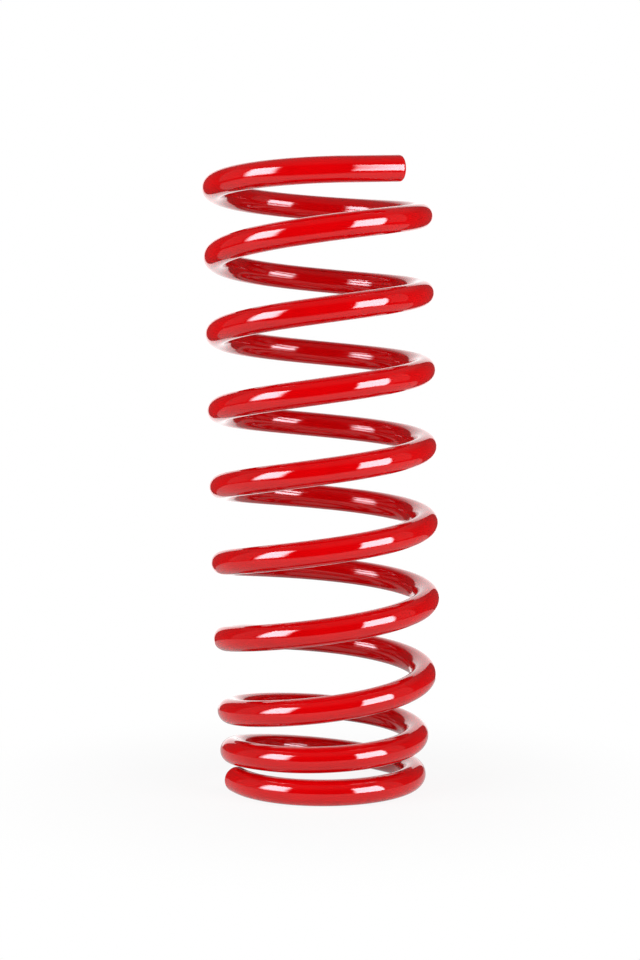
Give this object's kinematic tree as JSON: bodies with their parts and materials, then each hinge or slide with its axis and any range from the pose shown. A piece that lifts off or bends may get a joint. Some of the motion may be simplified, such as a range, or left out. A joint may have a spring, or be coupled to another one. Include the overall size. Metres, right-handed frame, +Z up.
{
  "type": "helical compression spring",
  "caption": "Red painted round-wire suspension coil spring, wound right-handed, with a narrowed closed seat coil at the bottom and an open top end that runs out straight.",
  "frame": {"origin": "under the middle of the full coils, in the plane that the seat coil stands on", "axes": "+Z up from the closed seat coil to the open top end, with the axis of the full coils leaning 1.18 degrees from it towards -X; -Y towards the viewer of the picture, +X to its right"},
  "size_m": [0.1214, 0.117, 0.3185],
  "materials": {
    "red_paint": "smooth high gloss red paint on steel wire"
  },
  "bodies": {
    "root": {"coil_spring": "red_paint"}
  },
  "joints": []
}
